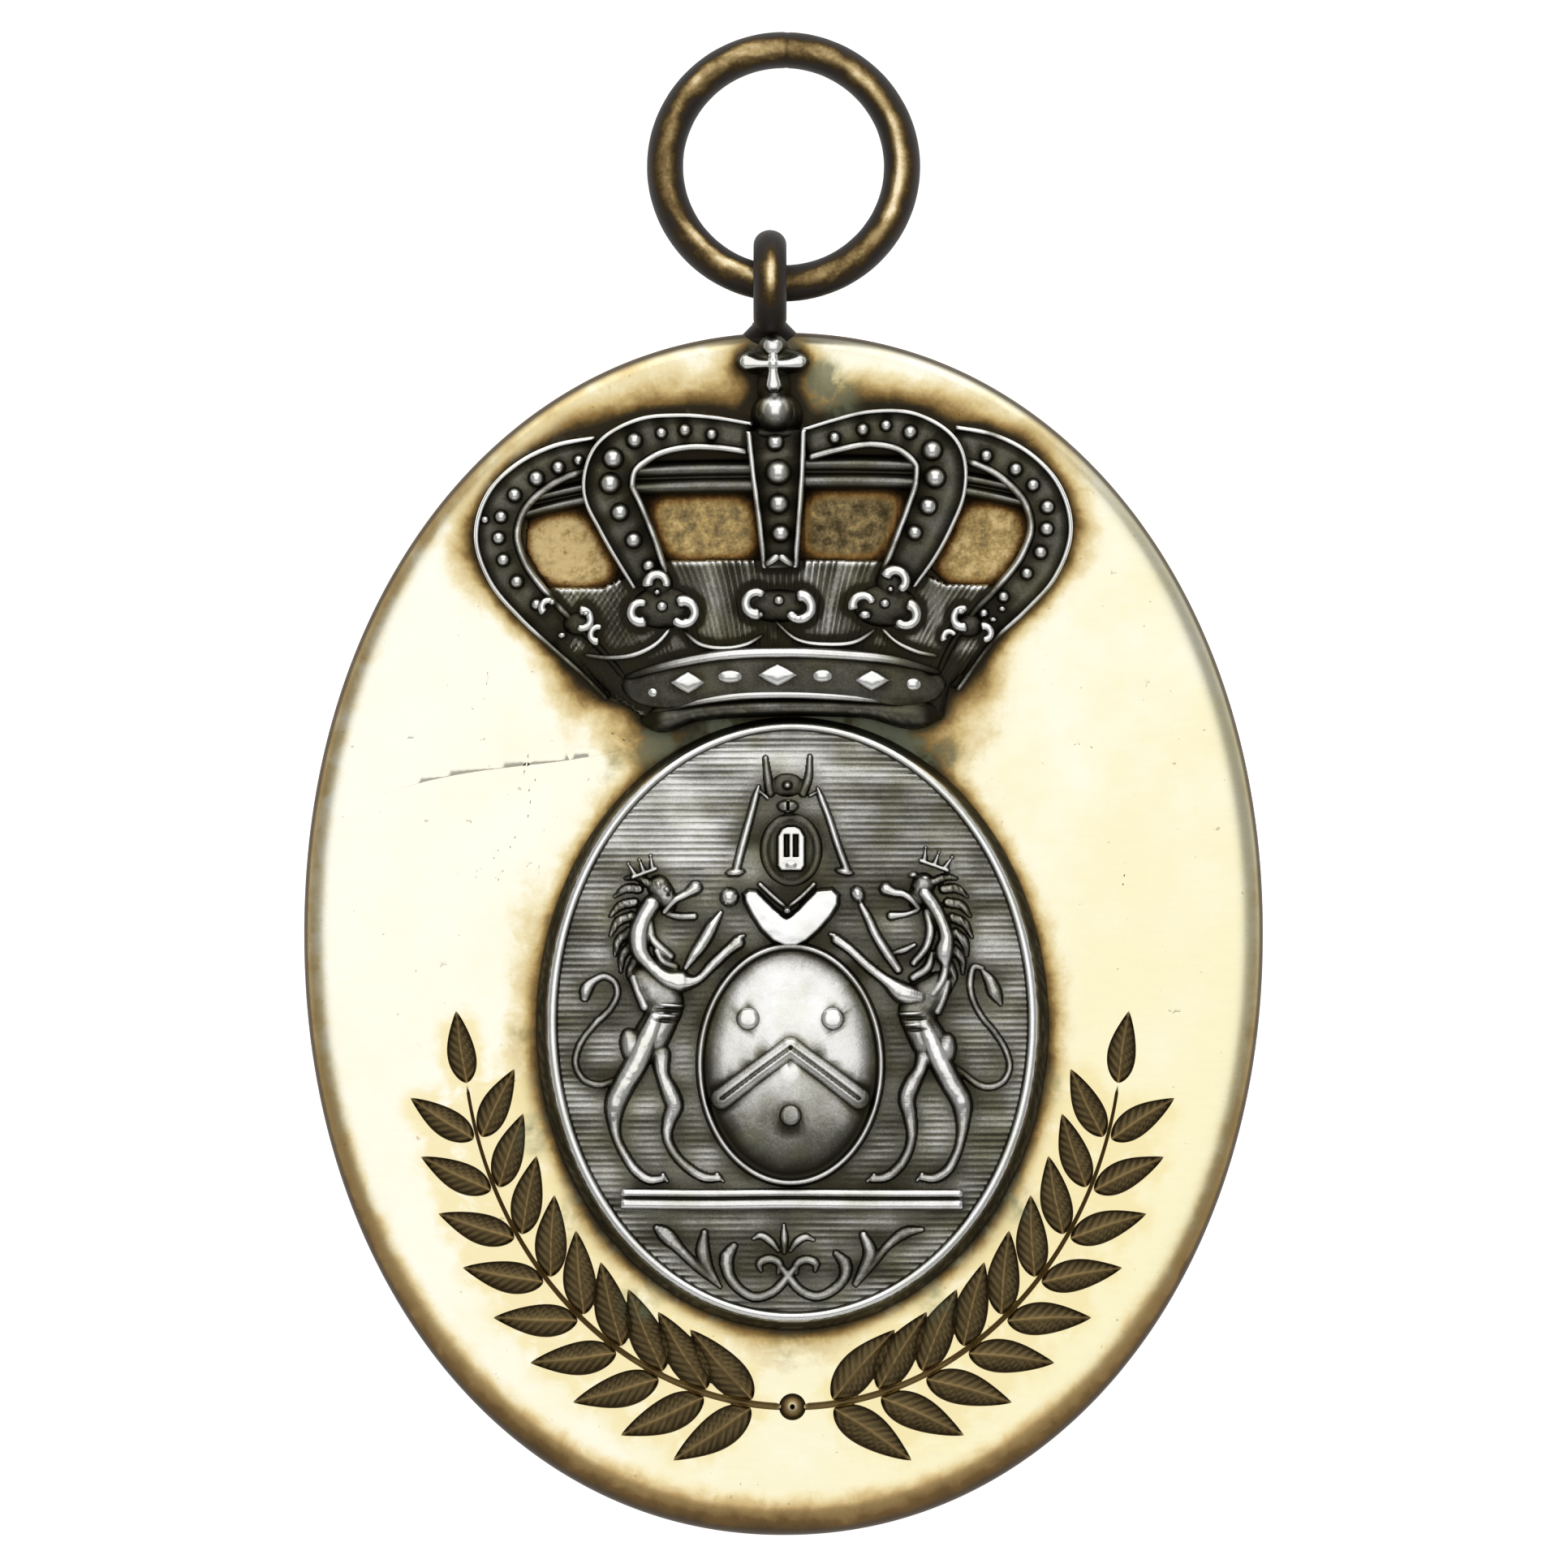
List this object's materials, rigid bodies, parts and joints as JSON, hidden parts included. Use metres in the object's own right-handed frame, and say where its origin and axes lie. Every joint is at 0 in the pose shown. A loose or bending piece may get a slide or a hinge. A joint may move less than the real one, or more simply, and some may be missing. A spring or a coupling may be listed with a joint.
{
  "type": "oval office badge with crown, relief medallion and suspension ring",
  "caption": "Oval gilt brass plate with an engraved laurel border, a pierced silver crown, a silver relief medallion with lion supporters, and a swinging suspension ring.",
  "frame": {"origin": "centre of the plate's flat back, on the surface that the badge lies on", "axes": "+Z out of the face, +Y up the badge towards the ring, +X to the right of the face"},
  "size_m": [0.0638, 0.1, 0.0071],
  "materials": {
    "gilt_brass": "pale gilt, polished, brown and greenish tarnish round the mounts and in the engraving",
    "dark_silver": "cast silver, blackened in the hollows, bright where it is rubbed",
    "bronzed_wire": "brown bronzed brass wire, rubbed brighter on its outer side"
  },
  "bodies": {
    "badge": {"plate": "gilt_brass", "crown": "dark_silver", "medallion": "dark_silver"},
    "ring": {"ring": "bronzed_wire"}
  },
  "joints": [
    {"name": "ring_swing", "type": "hinge", "parent": "badge", "child": "ring", "pos_m": [0, 0.0432, 0.00355], "axis": [1, 0, 0], "range_deg": [-115, 165]}
  ]
}
